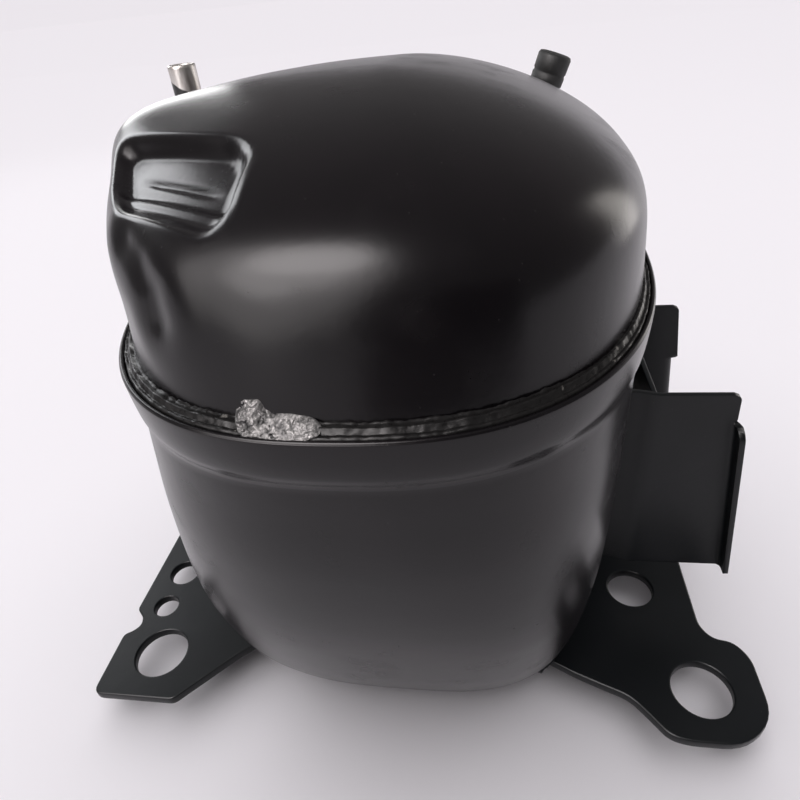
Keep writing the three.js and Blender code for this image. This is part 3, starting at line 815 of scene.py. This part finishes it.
def bracket_wall(name, side, y, top, lip_top, edge_low, edge_lip, edge_top, tab):
    """
    A side wall: a leg in to the shell, the flat wall, and the lip turned outwards along its free edge.
    The free edge runs from edge_low to edge_lip where the lip ends, then steps by tab up to edge_top.
    """
    bm = bmesh.new()
    grid = []
    levels = 120
    for i in range(levels + 1):
        z = BRACKET_LOW + (top - BRACKET_LOW) * i / levels
        turned = ease((lip_top + 0.8 - z) / 1.6)
        if z < lip_top:
            edge = edge_low + (edge_lip - edge_low) * (z - BRACKET_LOW) / (lip_top - BRACKET_LOW)
        else:
            edge = edge_lip + tab + (edge_top - edge_lip - tab) * (z - lip_top) / (top - lip_top)
        near_top = max(0.0, (z - (lip_top - 3.6)) / 3.6)
        length = LIP * math.sqrt(max(0.0, 1 - min(near_top, 1) ** 2))
        corner = max(0.0, z - (top - TOP_ROUND)) / TOP_ROUND
        edge -= TOP_ROUND * (1 - math.sqrt(max(0.0, 1 - corner * corner)))
        stations = [(44.0, y - side * ROOT_IN), (60, y - side * ROOT_IN * 0.45)]
        stations += [(62.6, y - side * 0.6), (WALL_X, y)]
        stations += [(WALL_X + (edge - LIP_BEND - WALL_X) * k / 12, y) for k in range(1, 13)]
        for k in range(1, 9):
            t = math.pi / 2 * k / 8
            round_x = edge - LIP_BEND + LIP_BEND * math.sin(t)
            round_y = y + side * LIP_BEND * (1 - math.cos(t))
            flat_x = edge - LIP_BEND + LIP_BEND * k / 8
            stations.append((flat_x + (round_x - flat_x) * turned, y + (round_y - y) * turned))
        for k in range(1, 6):
            step = max(0.0, length - LIP_BEND) * k / 5 * turned
            stations.append((edge + HAIR * k, y + side * (LIP_BEND * turned + step + HAIR * k)))
        grid.append([bm.verts.new(Vector((px, py, z)) * MM) for px, py in stations])
    skin_grid(bm, grid)
    bmesh.ops.remove_doubles(bm, verts=bm.verts, dist=0.00001)
    return mesh_of(name, bm)


def add_sheet_finish(piece):
    """Gives a wall its thickness, and softens its edges."""
    thick = piece.modifiers.new("thickness", "SOLIDIFY")
    thick.thickness = SHEET * MM
    thick.offset = 0
    edge = piece.modifiers.new("edges", "BEVEL")
    edge.width = SHEET_SOFT * MM
    edge.segments = 2
    edge.limit_method = "ANGLE"
    edge.angle_limit = math.radians(50)


FAR_TOP = BRACKET_TOP - 2.5
NEAR_LIP_TOP, FAR_LIP_TOP = BRACKET_TOP - 8.6, BRACKET_TOP - 21
near = bracket_wall(
    "bracket_near_wall", -1, NEAR_Y, BRACKET_TOP, NEAR_LIP_TOP, 90.7, 84.4, 83.4, -0.5
)
near = place("bracket_near_wall", near, FOOT_BLACK, replaced=["terminal_bracket"])
add_sheet_finish(near)
far = bracket_wall("bracket_far_wall", 1, FAR_Y, FAR_TOP, FAR_LIP_TOP, 86.0, 82.3, 81.8, 2.0)
add_sheet_finish(place("bracket_far_wall", far, FOOT_BLACK))

TERMINAL_Y, TERMINAL_Z, WINDOW_R = 4.75, 66.0, 17
base_half = (FAR_TOP - BRACKET_LOW) / 2
base_mid = BRACKET_LOW + base_half
base_corners = [(NEAR_Y, -base_half), (FAR_Y, -base_half), (FAR_Y, base_half), (NEAR_Y, base_half)]
base_window = (TERMINAL_Y, TERMINAL_Z - base_mid, WINDOW_R)
base = sheet_mesh("bracket_base", rounded(base_corners, 0.5), [base_window], SHEET, 0, 0.3)
STAND_UP = Matrix(((0, 0, 1, 0), (1, 0, 0, 0), (0, 1, 0, 0), (0, 0, 0, 1)))  # X to Y, Y to Z
base.transform(STAND_UP)
base.transform(Matrix.Translation(Vector((BASE_X, 0, base_mid)) * MM))
crisp(place("bracket_base", base, FOOT_BLACK))


# ------------------------------------------------------------------ turned and swept parts
def lathe(name, profile, axis, at, count=64):
    """A body turned about an axis through at; the profile is (radius, distance along the axis)."""
    bm = bmesh.new()
    turn = Vector((0, 0, 1)).rotation_difference(Vector(axis)).to_matrix()
    rings = []
    for radius, height in profile:
        ring = [(radius * math.cos(a), radius * math.sin(a), height) for a in spokes(count)]
        rings.append([turn @ Vector(p) + Vector(at) for p in ring])
    rows = skin_rings(bm, rings)
    cap(bm, rows[0], turn @ Vector((0, 0, profile[0][1])) + Vector(at))
    cap(bm, rows[-1], turn @ Vector((0, 0, profile[-1][1])) + Vector(at))
    return mesh_of(name, bm)


STUB_R, STUB_BORE, STUB_LIP, STUB_OPEN = 4.0, 3.2, 0.3, 12.0


def stub_mesh(name, path, count=40, steps=90):
    """A tube along a smooth path, open at its far end, with a rounded lip."""
    points = [Vector(p) for p in glide(path, steps)]
    side = Vector((0, 1, 0.01))

    def ring(centre, along, radius):
        nonlocal side
        side = (side - along * side.dot(along)).normalized()
        other = along.cross(side)
        return [centre + (side * math.cos(a) + other * math.sin(a)) * radius for a in spokes(count)]

    rings = []
    for i, p in enumerate(points):
        along = (points[min(i + 1, steps)] - points[max(i - 1, 0)]).normalized()
        rings.append(ring(p, along, STUB_R))
    tip, along = points[-1], (points[-1] - points[-2]).normalized()
    rings[-1] = ring(tip - along * STUB_LIP, along, STUB_R)
    rings.append(ring(tip, along, STUB_R - STUB_LIP))
    rings.append(ring(tip, along, STUB_BORE + STUB_LIP))
    rings.append(ring(tip - along * STUB_LIP, along, STUB_BORE))
    rings.append(ring(tip - along * STUB_OPEN, along, STUB_BORE))
    bm = bmesh.new()
    rows = skin_rings(bm, rings)
    cap(bm, rows[0], points[0])
    cap(bm, rows[-1], tip - along * STUB_OPEN)
    return mesh_of(name, bm)


def stub_material():
    """Bare plated steel at the end of the stub, with a wavy edge where the enamel stops."""
    enamel_stops, bare_starts = 0.1346, 0.135
    p = Paint("stub_two_tone", (0.7, 0.68, 0.65), 0.35)
    split = p.tree.nodes.new("ShaderNodeSeparateXYZ")
    p.link(p.coords, split.inputs["Vector"])
    wave = p.math("MULTIPLY", p.noise(90, 3), 0.008)
    slope = p.math("MULTIPLY", split.outputs["X"], 0.5)
    height = p.math("ADD", p.math("ADD", split.outputs["Z"], wave), slope)
    bare = p.spread(height, enamel_stops, bare_starts, 0, 1)
    smear = p.noise(500, 5, (1, 1, 0.3))
    steel = p.ramp(smear, 0.3, 0.7, (0.42, 0.38, 0.35), (0.82, 0.8, 0.77))
    p.colour(p.mix(bare, (0.016, 0.015, 0.015), steel))
    p.link(p.math("MULTIPLY", bare, 0.75), p.shader.inputs["Metallic"])
    p.roughness(p.spread(smear, 0.3, 0.7, 0.28, 0.45))
    p.bump(smear, 0.3, 0.0002)
    return p.material


SUCTION_PATH = [
    (-49, 38, 100),
    (-60, 39.2, 100),
    (-64.6, 39.9, 103.4),
    (-65.3, 40, 110),
    (-65.3, 40, 138),
    (-65.3, 40, 169.6),
]
DISCHARGE_PATH = [
    (31, 62, 100),
    (33, 73.5, 100),
    (33.8, 77, 103),
    (34.2, 77.5, 110),
    (36.4, 77.5, 130),
    (41.2, 77.5, 151),
]
PROCESS_PATH = [
    (-24, 69, 100),
    (-24.2, 80, 100),
    (-24.3, 84, 103),
    (-24.3, 84.6, 110),
    (-24.3, 84.6, 136),
]
for stub, path, material, slot in (
    ("suction_stub", SUCTION_PATH, stub_material(), "stub_metal"),
    ("discharge_stub", DISCHARGE_PATH, STUB_BLACK, "stub_paint"),
    ("process_stub", PROCESS_PATH, STUB_BLACK, "stub_paint"),
):
    name = stub + "_tube"
    place(name, stub_mesh(name, path), material, replaced=[stub])

PLUG_PROFILE = [
    (0.01, 0),
    (4.9, 0),
    (5.3, 0.4),
    (5.35, 3),
    (5.1, 3.3),
    (5.1, 3.8),
    (5.35, 4.1),
    (5.4, 8.2),
    (5.0, 9.0),
    (4.3, 9.2),
    (3.4, 9.0),
    (0.01, 8.8),
]
PLUG_AT, PLUG_TILT = (41.35, 77.5, 151.45), 0.34
plug_axis = (math.sin(PLUG_TILT), 0, math.cos(PLUG_TILT))
plug = lathe("stub_plug_cap", PLUG_PROFILE, plug_axis, PLUG_AT)
place("stub_plug_cap", plug, FINISHES["plug_rubber"], replaced=["stub_plug"])

BRAZE_PROFILE = [(0.01, -2.5), (6.4, -2.5), (5.9, -0.8), (4.9, 0.6), (4.3, 1.6), (0.01, 1.8)]
for name, centre, axis in (
    ("suction_braze", (-57.0, 39.2, 100), (-1, 0.1, 0)),
    ("discharge_braze", (32.6, 71.2, 100), (0.15, 1, 0)),
    ("process_braze", (-24.2, 78.2, 100), (0, 1, 0)),
):
    place(name, lathe(name, BRAZE_PROFILE, axis, centre, 40), STUB_BLACK)

# ------------------------------------------------------------------ hermetic terminal
# The profiles run along +X, so their second number is X itself.
CUP_PROFILE = [
    (0.01, 48.6),
    (11.0, 48.6),
    (12.0, 49.6),
    (12.0, 55.6),
    (12.6, 56.3),
    (14.6, 56.3),
    (15.0, 56.8),
    (15.0, 57.7),
    (14.6, 58.1),
    (12.6, 58.1),
    (11.9, 57.6),
    (11.2, 56.9),
    (10.6, 56.8),
    (0.01, 56.8),
]
PIN_PROFILE = [(0.01, 43), (1.5, 43), (1.6, 43.2), (1.6, 71.2), (1.4, 71.7), (0.9, 71.95), (0.01, 72)]
SEAL_PROFILE = [
    (0.01, 55.6),
    (3.2, 55.6),
    (3.2, 56.9),
    (2.8, 57.4),
    (2.1, 57.8),
    (1.65, 58.2),
    (0.01, 58.2),
]
PIN_CIRCLE = 5.6
cup = lathe("terminal_cup", CUP_PROFILE, (1, 0, 0), (0, TERMINAL_Y, TERMINAL_Z), 96)
cup = place(
    "terminal_cup", cup, FINISHES["terminal_glass"], replaced=["terminal_body"]
)
crisp(cup, 40)
GLASS = moulded("seal_glass", (0.02, 0.06, 0.09), 0.18)
for index, name in enumerate(("common", "start", "run")):
    angle = math.radians(90 + 120 * index)
    at = (0, TERMINAL_Y + PIN_CIRCLE * math.cos(angle), TERMINAL_Z + PIN_CIRCLE * math.sin(angle))
    pin = lathe("pin_" + name, PIN_PROFILE, (1, 0, 0), at, 32)
    place("pin_" + name, pin, FINISHES["pin_metal"], replaced=["terminal_pin_" + name])
    seal = lathe("seal_" + name, SEAL_PROFILE, (1, 0, 0), at, 32)
    place("seal_" + name, seal, GLASS)

# ------------------------------------------------------------------ suspension springs
WIRE = 0.9
TURNS, END_TURNS = 6, 0.8


def coil_mesh(name, low, high, steps=40):
    """A compression spring with closed ends that fills the box from low to high, in millimetres."""
    middle = (low + high) / 2
    radius = (high.x - low.x) / 2 - WIRE
    up = Vector((0, 0, 1))
    rings = []
    for k in range(TURNS * steps + 1):
        turn = k / steps
        rise = min(max((turn - END_TURNS) / (TURNS - 2 * END_TURNS), 0), 1)
        z = low.z + WIRE + (high.z - low.z - 2 * WIRE) * rise
        out = Vector((math.cos(math.tau * turn), math.sin(math.tau * turn), 0))
        centre = Vector((middle.x, middle.y, z)) + out * radius
        rings.append([centre + out * WIRE * math.cos(a) + up * WIRE * math.sin(a) for a in spokes(12)])
    bm = bmesh.new()
    rows = skin_rings(bm, rings)
    cap(bm, rows[0], middle_of(rings[0]))
    cap(bm, rows[-1], middle_of(rings[-1]))
    return mesh_of(name, bm)


# Each coil stretches between its lower seat on the housing and its upper one on the pump unit.
for number in (1, 2, 3, 4):
    node = f"spring_{number}"
    name = f"spring_coil_{number}"
    low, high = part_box(node)
    spring = bpy.data.objects.new(name, coil_mesh(name, low / MM, high / MM))
    bpy.context.scene.collection.objects.link(spring)
    spring.data.materials.append(FINISHES["spring_steel"])
    spring.data.shade_smooth()
    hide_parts(node)
    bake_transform(spring)

# ------------------------------------------------------------------ stage
# The floor is flat under the object and rises gently far behind it; all in metres from here on.
FLOOR_HALF_WIDTH = 60
FLOOR_PROFILE = ((-60, 0), (2.5, 0), (6, 0.15), (60, 9))
FLOOR_GAP = 0.0002
bm = bmesh.new()
strips = [
    [bm.verts.new((x, y, z)) for x in (-FLOOR_HALF_WIDTH, FLOOR_HALF_WIDTH)] for y, z in FLOOR_PROFILE
]
for near_strip, far_strip in zip(strips, strips[1:]):
    bm.faces.new((near_strip[0], near_strip[1], far_strip[1], far_strip[0]))
floor = bpy.data.objects.new("floor", mesh_of("floor", bm))
floor.location.z = -FLOOR_GAP
bpy.context.scene.collection.objects.link(floor)
floor.data.materials.append(Paint("floor", (0.9, 0.865, 0.91), 0.9).material)

AIM = Vector((0, 0, 0.09))


def softbox(name, direction, distance, size, glow, colour=(1, 1, 1)):
    """A soft oval lamp that shows in the gloss only; glow is its brightness as seen in a mirror."""
    light = bpy.data.lights.new(name, "AREA")
    light.shape = "ELLIPSE"
    light.size, light.size_y = size
    area = math.pi / 4 * size[0] * size[1]
    light.energy = glow * math.pi * area
    light.color = colour
    lamp = bpy.data.objects.new(name, light)
    away = Vector(direction).normalized()
    lamp.location = AIM + away * distance
    lamp.rotation_euler = away.to_track_quat("Z", "Y").to_euler()
    lamp.visible_diffuse = False
    bpy.context.scene.collection.objects.link(lamp)


ROSE = (1.0, 0.95, 0.95)
softbox("key_wide", (-0.46, -0.7, 0.62), 0.95, (0.95, 1.3), 3.2, ROSE)
softbox("key_core", (-0.4, -0.68, 0.76), 0.93, (0.5, 0.9), 5.2, ROSE)
softbox("key_high", (-0.3, -0.52, 0.95), 0.95, (0.45, 0.55), 4.0, ROSE)
softbox("left_window", (-0.78, 0.46, 0.46), 1.1, (0.45, 0.55), 4.8, (0.96, 0.97, 1.0))
softbox("rear_strip", (-0.56, 0.8, 0.24), 1.1, (0.4, 0.2), 6.0)
softbox("right_side", (0.78, 0.62, 0.1), 1.1, (0.32, 0.9), 2.6, (1.0, 0.95, 0.9))

# A dark panel stands in front at the right, and is mirrored low on the cover.
panel = bmesh.new()
corners = [(-0.1, -0.8, 0), (0.75, -0.5, 0), (0.75, -0.5, 0.4), (-0.1, -0.8, 0.4)]
panel.faces.new([panel.verts.new(corner) for corner in corners])
flag = bpy.data.objects.new("dark_panel", mesh_of("dark_panel", panel))
bpy.context.scene.collection.objects.link(flag)
flag.data.materials.append(Paint("panel_cloth", (0.01, 0.01, 0.01), 0.9).material)
flag.visible_camera = False

# A broad soft light from above that brightens the floor and matt surfaces, but is not mirrored.
fill = bpy.data.lights.new("overhead", "SUN")
fill.energy = 2.6
fill.angle = math.radians(100)
overhead = bpy.data.objects.new("overhead", fill)
overhead.rotation_euler = (math.radians(-12), math.radians(-10), 0)
overhead.visible_glossy = False
bpy.context.scene.collection.objects.link(overhead)

world = bpy.data.worlds.new("studio")
world.use_nodes = True
background = world.node_tree.nodes["Background"]
background.inputs["Color"].default_value = (1, 0.96, 0.97, 1)
background.inputs["Strength"].default_value = 0.2
bpy.context.scene.world = world
